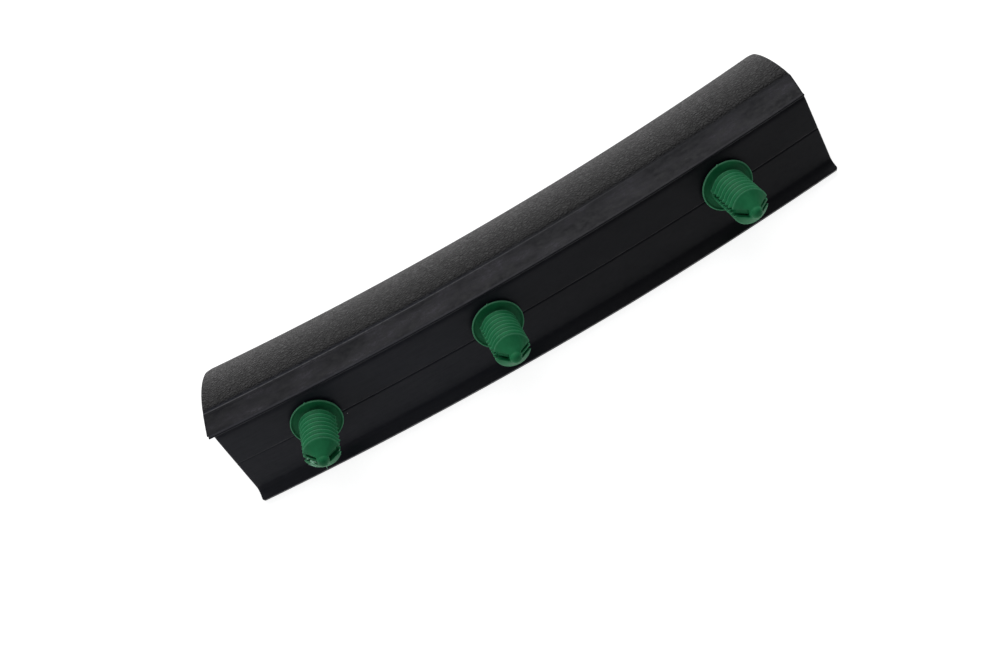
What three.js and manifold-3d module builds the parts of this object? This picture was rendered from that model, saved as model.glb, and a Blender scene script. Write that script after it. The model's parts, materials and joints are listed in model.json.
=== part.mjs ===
// Clip-on trim strip: one L-shaped plastic moulding and three push-in nylon clips.
//
// Millimetres, +X along the strip, +Z up. The strip lies on the lip of its mounting panel and on the
// free edge of its show face, with the corner between them up and the clips on the -Y side.
//
// The strip is a constant section swept along a wide arc in the horizontal plane. The section is
// drawn flat: w runs across the mounting panel, towards its lip, and n is the panel's outward normal.
// n = 0 is the panel's outer face and w = 0 is the parting line along it.

import * as THREE from "three";
import { mergeVertices } from "three/addons/utils/BufferGeometryUtils.js";
import Module from "manifold-3d";

const wasm = await Module();
wasm.setup();

// ---- driving dimensions: the strip ----

const wall = 2.4;
const panelEdge = 12.3; // w where the flat panel turns out into the lip
const lipBend = { radius: 3, turn: 55 };
const lipLength = 2.4; // of the straight lip past its bend
const lipWall = 1.6;
const corner = { w: -13.8, n: 0 }; // where the panel meets the bead of the smooth band
const beadHeight = 0.5;
const beadWidth = 0.8;
const beadFrontRun = 0.2; // w that the bead's two sides take up
const beadBackRun = 0.1;
const beadShoulder = 0.3; // how far behind the panel's face the smooth band starts
const bandHeading = -115.5; // degrees, direction of the smooth band as it leaves the bead
const bandArc = { length: 8.85, turn: 7 };
const ridgeTurn = 8; // degrees, the change of direction at the ridge between band and grain
const grainArc = { length: 29.1, turn: 36 };
const bowRadius = 1490;
const arcLeft = -100.6; // ends of the show face, measured along the bow from the middle clip
const arcRight = 122.1;
const panelLeft = -98.2; // the mounting panel stops a little short of the show face
const panelRight = 121;
const freeCornerRadius = 3.6;
const bowSteps = 24;
const lipSteps = 4;
const bandSteps = 4;
const grainSteps = 9;
const cornerSteps = 6;

// ---- driving dimensions: the clips ----

const clipAcross = -1.65; // w of the clip axes
// Places along the bow from the middle clip, and turns about the clip's own axis in degrees.
const clipPlaces = [
  { name: "clip_left", along: -67.65, turned: -17 },
  { name: "clip_middle", along: 0, turned: -20 },
  { name: "clip_right", along: 86.5, turned: -13 },
];
const holeRadius = 3.8;
const gap = 0.3; // between pieces that touch
const neckRadius = holeRadius - gap;
const headRadius = 4.5;
const headHeight = 2.9;
const headTaper = 1.8; // how much narrower the head's far end is
const headBarrel = 1; // length of the head's straight part
const flangeRadius = 9;
const flangeHubRadius = 5.4;
const rimHeight = 1.4; // of the flange rim's flat land above the panel
const rimLand = 0.7;
const rimBevel = 0.3;
const rimSide = 0.4; // height of the rim's outer side
const dishDepth = 0.35; // of the flange's hollow below the rim's land, at the barrel
const rootRadius = 5.5;
const crestRadius = 6.2;
const firstCrest = 2.4; // height of the first barb above the panel
const barbPitch = 2.09;
const barbCount = 8;
const barbRise = 0.3;
const noseHeight = 4.1;
const bulbRadius = 2.0;
const bulbHeight = 2.0;
const bulbSteps = 4;
const coreRadius = 3.7; // of the hollow inside the barrel
const coreFloor = 2.6; // height where the hollow and the side slots start
const coreTaper = 1; // length of the hollow's pointed end
const slotWidth = 1.0;
const windowWidth = 2.4;
const windowBelow = 1.2; // how far the nose's windows reach below the last barb
const windowAbove = 0.8; // and past the nose's base
const roundSegments = 28;

const lastCrest = firstCrest + barbPitch * (barbCount - 1);
const noseBase = lastCrest + noseHeight;
const tipHeight = noseBase + bulbHeight;

// ---- solids ----

function toSolid(geometry) {
  const bare = geometry.clone();
  bare.deleteAttribute("normal");
  bare.deleteAttribute("uv");
  const merged = mergeVertices(bare, 1e-4);
  const vertProperties = new Float32Array(merged.attributes.position.array);
  const triVerts = new Uint32Array(merged.index.array);
  return new wasm.Manifold(new wasm.Mesh({ numProp: 3, vertProperties, triVerts }));
}

function toGeometry(solid) {
  const mesh = solid.getMesh();
  const geometry = new THREE.BufferGeometry();
  geometry.setAttribute("position", new THREE.BufferAttribute(mesh.vertProperties, 3));
  geometry.setIndex(new THREE.BufferAttribute(mesh.triVerts, 1));
  geometry.computeVertexNormals();
  return geometry;
}

function radians(degrees) {
  return THREE.MathUtils.degToRad(degrees);
}

// ---- the section ----

// Points along an arc that starts at a point with a heading, and the heading at each of them.
function walkArc(start, heading, arc, steps) {
  const points = [];
  let w = start.w;
  let n = start.n;
  const stride = arc.length / steps;
  const swing = arc.turn / steps;
  for (let i = 1; i <= steps; i += 1) {
    const middle = radians(heading + swing * (i - 0.5));
    w += stride * Math.cos(middle);
    n += stride * Math.sin(middle);
    points.push({ w, n, heading: heading + swing * i });
  }
  return points;
}

function showFacePoints() {
  const start = { w: corner.w - beadWidth, n: corner.n - beadShoulder, heading: bandHeading };
  const band = walkArc(start, bandHeading, bandArc, bandSteps);
  const ridge = band[band.length - 1];
  const grain = walkArc(ridge, ridge.heading + ridgeTurn, grainArc, grainSteps);
  return [start, ...band, ...grain];
}

function lipPoints() {
  const bendLength = lipBend.radius * radians(lipBend.turn);
  const bendArc = { length: bendLength, turn: lipBend.turn };
  const bend = walkArc({ w: panelEdge, n: 0 }, 0, bendArc, lipSteps);
  const bendEnd = bend[bend.length - 1];
  return [...bend, ...walkArc(bendEnd, bendEnd.heading, { length: lipLength, turn: 0 }, 1)];
}

function lipBackPoints() {
  const lip = lipPoints();
  return lip.map(({ w, n, heading }, i) => {
    const thickness = wall + ((lipWall - wall) * (i + 1)) / lip.length;
    return insideOf({ w, n, heading: heading + 180 }, thickness);
  });
}

// The point through the wall from a point whose heading has the inside of the strip on its left.
function insideOf(point, thickness = wall) {
  const heading = radians(point.heading);
  return { w: point.w - thickness * Math.sin(heading), n: point.n + thickness * Math.cos(heading) };
}

function sectionOutline() {
  const face = showFacePoints();
  const outer = [
    ...lipPoints().reverse(),
    { w: panelEdge, n: 0 },
    corner,
    { w: corner.w - beadFrontRun, n: beadHeight },
    { w: corner.w - beadWidth + beadBackRun, n: beadHeight },
    ...face,
  ];
  const inner = face
    .map((point) => insideOf(point))
    .filter((point) => point.n < -wall)
    .reverse();
  const back = [
    { w: corner.w + wall, n: -wall },
    { w: panelEdge, n: -wall },
  ];
  return [...outer, ...inner, ...back, ...lipBackPoints()];
}

// ---- from the flat section to the object's frame ----

// The strip stands on the inner corner of the free edge and on the back of the lip.
function lowestPoint(points, lean) {
  const height = ({ w, n }) => n * Math.cos(lean) - w * Math.sin(lean);
  return points.reduce((low, point) => (height(point) < height(low) ? point : low));
}

const freeEdge = showFacePoints().pop();
const freeFoot = insideOf(freeEdge);
const lipFoot = lowestPoint(lipBackPoints(), radians(lipBend.turn));
const groundAngle = Math.atan2(lipFoot.n - freeFoot.n, lipFoot.w - freeFoot.w);

// Distance from the free edge's foot over the ground, towards the lip, and height above the ground.
function standUp(w, n) {
  const dw = w - freeFoot.w;
  const dn = n - freeFoot.n;
  return {
    out: dw * Math.cos(groundAngle) + dn * Math.sin(groundAngle),
    up: dn * Math.cos(groundAngle) - dw * Math.sin(groundAngle),
  };
}

const lineOut = standUp(0, 0).out;

function place(along, w, n) {
  const { out, up } = standUp(w, n);
  const angle = along / bowRadius;
  const radius = bowRadius + out - lineOut;
  return new THREE.Vector3(radius * Math.sin(angle), bowRadius - lineOut - radius * Math.cos(angle), up);
}

// A frame on the panel at a place along the strip: x along it, z out of the panel's outer face.
function panelFrame(along, w) {
  const origin = place(along, w, 0);
  const outward = place(along, w, 1).sub(origin).normalize();
  const across = place(along, w + 1, 0).sub(origin).normalize();
  const lengthwise = new THREE.Vector3().crossVectors(across, outward).negate();
  const upward = new THREE.Vector3().crossVectors(outward, lengthwise);
  return new THREE.Matrix4().makeBasis(lengthwise, upward, outward).setPosition(origin);
}

// ---- the strip ----

function sweptSection() {
  const shape = new THREE.Shape(sectionOutline().map((point) => new THREE.Vector2(point.w, point.n)));
  const length = arcRight - arcLeft;
  const geometry = new THREE.ExtrudeGeometry(shape, { depth: length, steps: bowSteps, bevelEnabled: false });
  const position = geometry.attributes.position;
  for (let i = 0; i < position.count; i += 1) {
    const along = arcRight - position.getZ(i);
    const point = place(along, position.getX(i), position.getY(i));
    position.setXYZ(i, point.x, point.y, point.z);
  }
  return toSolid(geometry);
}

function panelEndCutter(along, side) {
  const reach = 8; // past the panel's end, and past the panel's edge, which clears the lip
  const depth = 2 * reach;
  const low = corner.w + beadBackRun;
  const high = panelEdge + reach;
  const box = new THREE.BoxGeometry(reach, high - low, depth);
  box.translate((side * reach) / 2, -(high - low) / 2, 0);
  box.applyMatrix4(panelFrame(along, low));
  return toSolid(box);
}

// What is cut off to round one free corner of the show face: a square with a quarter circle bitten out.
function freeCornerCutter(along, side) {
  const size = freeCornerRadius;
  const spare = 1;
  const outline = new THREE.Shape();
  outline.moveTo(-spare, -spare);
  outline.lineTo(size, -spare);
  outline.lineTo(size, 0);
  outline.absarc(size, size, size, -Math.PI / 2, -Math.PI, true);
  outline.lineTo(-spare, size);
  const depth = 8 * wall;
  const cutter = new THREE.ExtrudeGeometry(outline, {
    depth,
    bevelEnabled: false,
    curveSegments: cornerSteps,
  });
  cutter.translate(0, 0, -depth / 2);
  const edge = place(along, freeEdge.w, freeEdge.n);
  const heading = radians(freeEdge.heading);
  const inward = place(along, freeEdge.w - Math.cos(heading), freeEdge.n - Math.sin(heading)).sub(edge);
  const lengthwise = place(along - side, freeEdge.w, freeEdge.n).sub(edge);
  inward.normalize();
  lengthwise.normalize();
  const through = new THREE.Vector3().crossVectors(lengthwise, inward);
  cutter.applyMatrix4(new THREE.Matrix4().makeBasis(lengthwise, inward, through).setPosition(edge));
  return toSolid(cutter);
}

function clipHole(along) {
  const hole = new THREE.CylinderGeometry(holeRadius, holeRadius, 4 * wall, roundSegments);
  hole.rotateX(Math.PI / 2);
  hole.applyMatrix4(panelFrame(along, clipAcross));
  return toSolid(hole);
}

function trimStrip() {
  let solid = sweptSection();
  solid = solid.subtract(panelEndCutter(panelLeft, -1));
  solid = solid.subtract(panelEndCutter(panelRight, 1));
  solid = solid.subtract(freeCornerCutter(arcLeft, -1));
  solid = solid.subtract(freeCornerCutter(arcRight, 1));
  for (const clip of clipPlaces) {
    solid = solid.subtract(clipHole(clip.along));
  }
  return toGeometry(solid);
}

// ---- a clip ----

function lathe(points) {
  const profile = points.map(([radius, height]) => new THREE.Vector2(radius, height));
  const geometry = new THREE.LatheGeometry(profile, roundSegments);
  geometry.rotateX(Math.PI / 2);
  return toSolid(geometry);
}

function headProfile() {
  const top = -wall - gap;
  const bottom = top - headHeight;
  return [
    [0, bottom],
    [headRadius - headTaper, bottom],
    [headRadius, top - headBarrel],
    [headRadius, top],
    [neckRadius, top],
    [neckRadius, gap],
  ];
}

function flangeProfile() {
  return [
    [flangeHubRadius, gap],
    [flangeRadius - rimBevel, rimHeight - rimSide - rimBevel],
    [flangeRadius, rimHeight - rimSide],
    [flangeRadius, rimHeight],
    [flangeRadius - rimLand, rimHeight],
    [flangeRadius - rimLand - rimBevel, rimHeight - dishDepth / 2],
    [rootRadius, rimHeight - dishDepth],
  ];
}

function barbProfile() {
  const points = [];
  for (let i = 0; i < barbCount; i += 1) {
    const crest = firstCrest + i * barbPitch;
    points.push([rootRadius, crest - barbRise], [crestRadius, crest]);
  }
  return points;
}

function noseProfile() {
  const points = [];
  for (let i = 0; i < bulbSteps; i += 1) {
    const turn = radians(90 * (i / bulbSteps));
    points.push([bulbRadius * Math.cos(turn), noseBase + bulbHeight * Math.sin(turn)]);
  }
  return [...points, [0, tipHeight]];
}

function hollowProfile() {
  return [
    [0, coreFloor],
    [coreRadius, coreFloor],
    [coreRadius, lastCrest - coreTaper],
    [0, lastCrest],
  ];
}

function sideSlot(side, width, inner, bottom, top) {
  const outer = flangeRadius;
  const box = new THREE.BoxGeometry(outer - inner, width, top - bottom);
  box.translate((side * (outer + inner)) / 2, 0, (top + bottom) / 2);
  return toSolid(box);
}

function headSlot() {
  const box = new THREE.BoxGeometry(4 * headRadius, slotWidth, headHeight + wall);
  box.translate(0, 0, -wall - gap - headHeight / 2 - headBarrel);
  return toSolid(box);
}

function clipGeometry() {
  let solid = lathe([...headProfile(), ...flangeProfile(), ...barbProfile(), ...noseProfile()]);
  solid = solid.subtract(lathe(hollowProfile()));
  const windowLow = lastCrest - windowBelow;
  const windowHigh = noseBase + windowAbove;
  for (const side of [-1, 1]) {
    solid = solid.subtract(sideSlot(side, slotWidth, bulbRadius, coreFloor, lastCrest));
    solid = solid.subtract(sideSlot(side, windowWidth, bulbRadius, windowLow, windowHigh));
  }
  solid = solid.subtract(headSlot());
  return toGeometry(solid);
}

// ---- the assembly ----

const stripMaterial = new THREE.MeshStandardMaterial({ color: 0x202124, roughness: 0.55, metalness: 0 });
const clipMaterial = new THREE.MeshStandardMaterial({ color: 0x23573b, roughness: 0.45, metalness: 0 });

const assembly = new THREE.Group();

const strip = new THREE.Mesh(trimStrip(), stripMaterial);
strip.name = "trim_strip";
assembly.add(strip);

for (const clip of clipPlaces) {
  const mesh = new THREE.Mesh(clipGeometry(), clipMaterial.clone());
  mesh.name = clip.name;
  mesh.rotation.z = radians(clip.turned);
  const seat = new THREE.Group();
  seat.applyMatrix4(panelFrame(clip.along, clipAcross));
  seat.add(mesh);
  assembly.add(seat);
}

// The origin is the middle of the footprint, on the surface that the strip lies on.
const bounds = new THREE.Box3().setFromObject(assembly, true);
const centre = bounds.getCenter(new THREE.Vector3());
assembly.position.set(-centre.x, -centre.y, -bounds.min.z);

export default assembly;
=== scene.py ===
"""Looks for a clip-on trim strip: a grained L-shaped plastic moulding with three nylon push-in clips.

The strip's and the clips' sizes are millimetres; place() and clip_frame() turn them into the frame's metres.
The strip's section is drawn flat: w runs across the mounting panel towards its lip, and n is the panel's
outward normal.
"Travel" is the distance over the outer surface from the crease between the panel and the show face:
positive over the show face, negative over the panel.
"""

import json
import math
import random

import bmesh
import bpy
import numpy as np
from mathutils import Matrix, Vector

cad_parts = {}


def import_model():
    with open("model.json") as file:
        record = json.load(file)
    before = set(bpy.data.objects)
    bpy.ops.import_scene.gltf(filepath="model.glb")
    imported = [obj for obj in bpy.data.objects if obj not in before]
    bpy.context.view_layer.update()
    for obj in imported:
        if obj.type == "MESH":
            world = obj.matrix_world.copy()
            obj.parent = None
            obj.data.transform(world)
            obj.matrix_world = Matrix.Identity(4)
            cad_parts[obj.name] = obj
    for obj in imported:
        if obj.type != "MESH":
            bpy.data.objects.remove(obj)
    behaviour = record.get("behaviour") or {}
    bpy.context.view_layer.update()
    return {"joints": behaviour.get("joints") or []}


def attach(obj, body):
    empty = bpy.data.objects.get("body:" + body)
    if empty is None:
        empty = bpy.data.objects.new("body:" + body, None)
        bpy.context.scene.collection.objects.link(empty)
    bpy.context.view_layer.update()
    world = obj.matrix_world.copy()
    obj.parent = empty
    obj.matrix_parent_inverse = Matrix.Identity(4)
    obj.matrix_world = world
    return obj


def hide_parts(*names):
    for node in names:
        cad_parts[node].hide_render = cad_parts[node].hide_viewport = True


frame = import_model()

MM = 0.001

# ---- driving dimensions: the strip ----

WALL = 2.4
PANEL_EDGE = 12.3  # w where the flat panel turns out into the lip
LIP_BEND_RADIUS = 3.0
LIP_TURN = math.radians(55)
LIP_LENGTH = 2.4
LIP_WALL = 1.6
CORNER_W = -13.8  # the crease between the panel and the bead of the show face
BAND_START = (-14.6, -0.3)
BAND_HEADING = math.radians(-115.5)
BAND_LENGTH = 8.85
BAND_TURN = math.radians(7)
RIDGE_TURN = math.radians(8)
GRAIN_LENGTH = 29.1
GRAIN_TURN = math.radians(36)
SHOW_ENDS = (-100.6, 122.5)  # left and right, along the bow from the middle clip
PANEL_ENDS = (-98.2, 121.2)
LEFT_FLARE = 0.8  # how much further the panel's left end reaches at the crease than at the lip
BEAD_FLARE = 0.5  # how much further the show face's left end reaches at the bead than at the ridge
BEAD_CORNER_RADIUS = 0.5
FREE_CORNER_RADIUS = 3.6
LIP_CORNER_RADIUS = 1.0
EDGE_RADIUS = 0.45
CLIP_ACROSS = -1.65  # w of the clip axes
HOLE_RADIUS = 3.8
SPLAY_MIDDLE = 0.25  # how far the free edge stands out past its curve at the middle of the strip
SPLAY_ENDS = 0.65  # how much further it stands out at the ends
LIP_RUN_OUT = 0.6  # how much shorter the lip is at the right end
LIP_RUN_OUT_START = 40  # along the bow
END_STATIONS = np.array([0, 0.04, 0.12, 0.25, 0.45, 0.8, 1.4, 2.4])  # distances from an end
STATION_COUNT = 150  # evenly spaced between the last of those at each end, both counted

# ---- driving dimensions: the lines moulded into the strip ----

PARTING_DEPTH = 0.20
PARTING_WIDTH = 0.24
PARTING_DRIFT = 0.0015  # how far the parting line wanders towards the crease, per millimetre along
PARTING_STRAIGHT = -50  # where along the bow it has not wandered
PARTING_FADE = 45  # length over which it fades in from the left end
RIDGE_HEIGHT = 0.06  # of the line between the band and the grain
RIDGE_WIDTH = 0.20
SECOND_LINE_HEIGHT = 0.045  # of the finer line beside it on the band
SECOND_LINE_WIDTH = 0.18
SECOND_LINE_SETBACK = 1.05
LINES_FADE_FROM = 0.25  # share of the length, from the left, where those two lines start to fade
RIDGE_HOLLOW_DEPTHS = (0.10, 0.22)  # of the shallow hollow past the ridge, at the left and right ends
RIDGE_HOLLOW_SETBACK = 1.5
RIDGE_HOLLOW_WIDTH = 1.1
CREASE_DEPTH = 0.20
CREASE_TRAVEL = -0.45
CREASE_WIDTH = 0.38

# ---- driving dimensions: the clips ----

FLANGE_RADIUS = 8.85
HUB_RADIUS = 5.4
RIM_HEIGHT = 1.4
RIM_RADIUS = 0.38
NUB_RADIUS = 0.3
NUB_OFFSET = FLANGE_RADIUS + 0.03  # from the clip's axis to each nub's
NUBS_TURNED = 105  # degrees round the flange to the first nub
ROOT_RADIUS = 5.35
CREST_RADIUS = 6.2
FIRST_CREST = 2.4
BARB_PITCH = 2.09
BARB_COUNT = 8
BARB_STEEP_SHARE = 0.16  # share of the pitch that a barb's steep side takes up
BARREL_FOOT = 0.8  # height of its open lower end above the panel
BARREL_STEP = 0.11  # between the rings that its barbs are drawn with
LAST_CREST = FIRST_CREST + BARB_PITCH * (BARB_COUNT - 1)
NOSE_BASE = LAST_CREST + 4.1
HOLLOW_TIP_RADIUS = 1.2  # of the hollow at the top of the nose
BULB_RADIUS = 2.0
CORE_RADIUS = 1.3  # of the core that the bulb stands on
CORE_FOOT = 12
TIP = NOSE_BASE + 2.0
HOLLOW_RADIUS = 3.9
NECK_RADIUS = 3.5
HEAD_RADIUS = 4.5
HEAD_TOP = -WALL - 0.3
HEAD_BOTTOM = HEAD_TOP - 2.9
HEAD_SPLIT = 0.5  # half width
SLOT = 1.15  # half width of the two slots down the sides
SLOT_FOOT = 2.7
SLOT_INSIDE = 2.6  # how near the clip's axis the slots come
WINDOW = 1.4  # half width of the windows in the nose that the slots open into
WINDOW_FOOT = LAST_CREST - 1.5
WINDOW_INSIDE = 1.9
PAST_BARREL = 8  # a reach from the clip's axis that clears its barrel and its head
WEB_FOOT = LAST_CREST - 3.6
FULL_FAN = {"reach": 6.0, "sunk": 0.3, "half": 0.42}  # the web in one window
SHORT_FAN = {"reach": 4.6, "sunk": 2.0, "half": 0.9}  # and in the other
FAN_SLOPE = 0.9
EAR = 0.55  # how far the barbs turn up where they end beside the slot on the short fan's side
EAR_GAP = 0.04  # radians from the slot's edge to the middle of an ear
EAR_WIDTH = 0.09
VOXEL = 0.12

# ---- driving dimensions: the torn nylon ----

STRAND_COUNT = 18
STRAND_STEPS = 9
STRAND_SIDES = 6
STRAND_TAPER = 0.8
STRAND_CURL = 0.22
STRAND_LENGTHS = (1.0, 2.0)
STRAND_RADII = (0.10, 0.20)
TORN_X = (-4.9, -2.7)  # where the strands start, in the clip's own millimetres
TORN_Y = (-1.9, 0.6)
TORN_HEIGHTS = (0.3, 0.9)  # above the cone of the nose
THREAD_LENGTH = 1.9
THREAD_RADIUS = 0.13

# ---- driving dimensions: tone marks, where 0 is plain nylon: painted highlights on crests and rim, torn strands, painted shade ----

CREST_HIGHLIGHT = 1.1
RIM_HIGHLIGHT = 1.2
FRAYED_PALE = 2
DISH_SHADE = 0.4

# Each clip's body, how many degrees it is turned about its own axis and leans in its hole, the side that
# its full fan is on, and whether it is frayed.
CLIPS = {
    "clip_left": {"body": "left_clip", "turned": -17, "askew": 0, "fan": -1, "frayed": True},
    "clip_middle": {"body": "middle_clip", "turned": -17, "askew": 2, "fan": 1, "frayed": False},
    "clip_right": {"body": "right_clip", "turned": -13, "askew": 0, "fan": 1, "frayed": False},
}


# ---- from the flat section to the frame ----

def joint_of(body):
    return next(joint for joint in frame["joints"] if joint["child"] == body)


def joint_place(body):
    return Vector(joint_of(body)["pos_m"]) / MM


def joint_axis(body):
    return Vector(joint_of(body)["axis"]).normalized()


def fan_angle(body):
    """How far round the bow a clip's axis points, from the middle clip."""
    axis = joint_axis(body)
    return math.atan2(axis.x, -axis.y)


MIDDLE = joint_place("middle_clip")
LEAN = math.atan2(-joint_axis("middle_clip").y, joint_axis("middle_clip").z)
CLIP_BOW = (joint_place("right_clip").x - MIDDLE.x) / math.sin(fan_angle("right_clip"))
BOW = CLIP_BOW - CLIP_ACROSS * math.cos(LEAN)


def place(along, w, n):
    """Points in the frame, in metres, from arrays of distances along and over the flat section."""
    across = w - CLIP_ACROSS
    reach = CLIP_BOW + across * math.cos(LEAN) + n * math.sin(LEAN)
    height = MIDDLE.z + n * math.cos(LEAN) - across * math.sin(LEAN)
    turn = along / BOW
    x = MIDDLE.x + reach * np.sin(turn)
    y = MIDDLE.y + CLIP_BOW - reach * np.cos(turn)
    return np.stack([x, y, height], axis=-1) * MM


def clip_frame(body):
    """From a clip's own millimetres, z out of the panel, to the frame's metres."""
    fan = fan_angle(body)
    lengthwise = Vector((math.cos(fan), math.sin(fan), 0))
    outward = joint_axis(body)
    upward = outward.cross(lengthwise)
    matrix = Matrix((lengthwise, upward, outward)).transposed().to_4x4()
    matrix.translation = joint_place(body)
    return Matrix.Scale(MM, 4) @ matrix


# ---- mesh helpers ----

def new_object(name, points, faces):
    mesh = bpy.data.meshes.new(name)
    mesh.from_pydata([tuple(point) for point in points], [], faces)
    mesh.validate()
    thing = bpy.data.objects.new(name, mesh)
    bpy.context.scene.collection.objects.link(thing)
    return thing


def face_outwards(thing):
    mesh = bmesh.new()
    mesh.from_mesh(thing.data)
    bmesh.ops.recalc_face_normals(mesh, faces=mesh.faces)
    mesh.to_mesh(thing.data)
    mesh.free()


def bake_modifiers(thing):
    graph = bpy.context.evaluated_depsgraph_get()
    mesh = bpy.data.meshes.new_from_object(thing.evaluated_get(graph))
    thing.modifiers.clear()
    old = thing.data
    thing.data = mesh
    bpy.data.meshes.remove(old)


def cut(thing, cutters):
    """Takes each cutter out of the thing and removes the cutter."""
    for cutter in cutters:
        modifier = thing.modifiers.new("cut", "BOOLEAN")
        modifier.operation = "DIFFERENCE"
        modifier.solver = "EXACT"
        modifier.object = cutter
    bake_modifiers(thing)
    for cutter in cutters:
        bpy.data.objects.remove(cutter)


def join(things):
    """One object from several, in the first one."""
    with bpy.context.temp_override(active_object=things[0], selected_editable_objects=things):
        bpy.ops.object.join()
    return things[0]


def grid_faces(rows, columns, start=0):
    """Quads between the points of a grid that is stored row by row."""
    faces = []
    for i in range(rows - 1):
        for j in range(columns - 1):
            a = start + i * columns + j
            faces.append((a, a + 1, a + columns + 1, a + columns))
    return faces


def revolve(name, profile, segments=96, radius_at=None):
    """A closed body turned round z. The profile runs from axis to axis, or is a ring that closes itself."""
    on_axis = profile[0][0] == 0
    rings = profile[1:-1] if on_axis else profile
    points = []
    for radius, height in rings:
        for k in range(segments):
            angle = 2 * math.pi * k / segments
            r = radius_at(radius, height, angle) if radius_at else radius
            points.append((r * math.cos(angle), r * math.sin(angle), height))
    count = len(rings)
    faces = []
    for i in range(count - 1 if on_axis else count):
        for k in range(segments):
            after = (k + 1) % segments
            low, high = i * segments, ((i + 1) % count) * segments
            faces.append((low + k, low + after, high + after, high + k))
    if on_axis:
        first, last = len(points), len(points) + 1
        points += [(0, 0, profile[0][1]), (0, 0, profile[-1][1])]
        top = (count - 1) * segments
        for k in range(segments):
            after = (k + 1) % segments
            faces.append((first, after, k))
            faces.append((last, top + k, top + after))
    thing = new_object(name, points, faces)
    face_outwards(thing)
    return thing


def block(name, low, high):
    """A closed box between two corners."""
    corners = [(x, y, z) for x in (low[0], high[0]) for y in (low[1], high[1]) for z in (low[2], high[2])]
    faces = [(0, 1, 3, 2), (4, 6, 7, 5), (0, 4, 5, 1), (2, 3, 7, 6), (0, 2, 6, 4), (1, 5, 7, 3)]
    thing = new_object(name, corners, faces)
    face_outwards(thing)
    return thing


def round_over(distance, radius):
    """How far a rounded edge has fallen away at a distance from the edge."""
    inside = np.clip(radius - distance, 0, radius)
    return radius - np.sqrt(radius ** 2 - inside ** 2)


def hump(x, centre, half_width):
    """A smooth bump of height 1."""
    return np.exp(-((x - centre) / half_width) ** 2)


# ---- the strip's section ----

def arc_point(start, heading, length, turn, distance):
    """Point and heading at a distance along an arc in the section."""
    now = heading + turn * distance / length
    radius = length / turn
    w = start[0] + radius * (math.sin(now) - math.sin(heading))
    n = start[1] - radius * (math.cos(now) - math.cos(heading))
    return w, n, now


def show_face_point(travel):
    """Point and heading on the band and the grained face, heading from the bead towards the free edge."""
    if travel <= BAND_LENGTH:
        return arc_point(BAND_START, BAND_HEADING, BAND_LENGTH, BAND_TURN, travel)
    w, n, heading = arc_point(BAND_START, BAND_HEADING, BAND_LENGTH, BAND_TURN, BAND_LENGTH)
    past = travel - BAND_LENGTH
    return arc_point((w, n), heading + RIDGE_TURN, GRAIN_LENGTH, GRAIN_TURN, past)


def panel_point(travel):
    """Point and heading on the panel and lip, heading from the lip towards the crease."""
    w = CORNER_W - travel
    if w <= PANEL_EDGE:
        return w, 0.0, math.pi
    bend_length = LIP_BEND_RADIUS * LIP_TURN
    past = w - PANEL_EDGE
    bw, bn, turned = arc_point((PANEL_EDGE, 0), 0, bend_length, LIP_TURN, min(past, bend_length))
    straight = max(0, past - bend_length)
    bw += straight * math.cos(turned)
    bn += straight * math.sin(turned)
    return bw, bn, turned + math.pi


PANEL_TRAVEL = CORNER_W - PANEL_EDGE
LIP_TRAVEL = PANEL_TRAVEL - LIP_BEND_RADIUS * LIP_TURN - LIP_LENGTH
FREE_TRAVEL = BAND_LENGTH + GRAIN_LENGTH
PARTING_TRAVEL = CORNER_W
SECOND_LINE_TRAVEL = BAND_LENGTH - SECOND_LINE_SETBACK
RIDGE_HOLLOW_TRAVEL = BAND_LENGTH + RIDGE_HOLLOW_SETBACK
PANEL_STEP = 0.8
SHOW_STEP = 0.6
BEAD_OUTLINE = [(-0.06, 0.2), (-0.16, 0.42), (-0.34, 0.52), (-0.54, 0.48), (-0.68, 0.32), (-0.76, 0.06)]
INNER_FILLET = (-1.8, 2.1)  # travels between which the inside corner is rounded


def wall_at(travel):
    """Thickness, which tapers from the panel's edge to the lip's."""
    share = np.clip((PANEL_TRAVEL - travel) / (PANEL_TRAVEL - LIP_TRAVEL), 0, 1)
    return WALL + (LIP_WALL - WALL) * share


def inside_of(point, thickness):
    """The point of the inner surface behind a point of the outer one."""
    w, n, heading = point
    return w - thickness * math.sin(heading), n + thickness * math.cos(heading)


def knots(low, high, step, lines):
    """Evenly spaced travels, closer together at the edges and round each line."""
    even = np.linspace(low, high, int(round((high - low) / step)) + 1)
    near = np.array([0, 0.1, 0.2, 0.3, 0.45, 0.7])
    extra = [line + side * near for line in lines for side in (-1, 1)]
    both = np.unique(np.round(np.concatenate([even, *extra]), 3))
    return both[(both >= low) & (both <= high)]


def inner_corner():
    """Where the panel's and the band's inside surfaces would meet."""
    w, n = inside_of((*BAND_START, BAND_HEADING), WALL)
    down = (-WALL - n) / math.sin(BAND_HEADING)
    return w + down * math.cos(BAND_HEADING), -WALL


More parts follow.
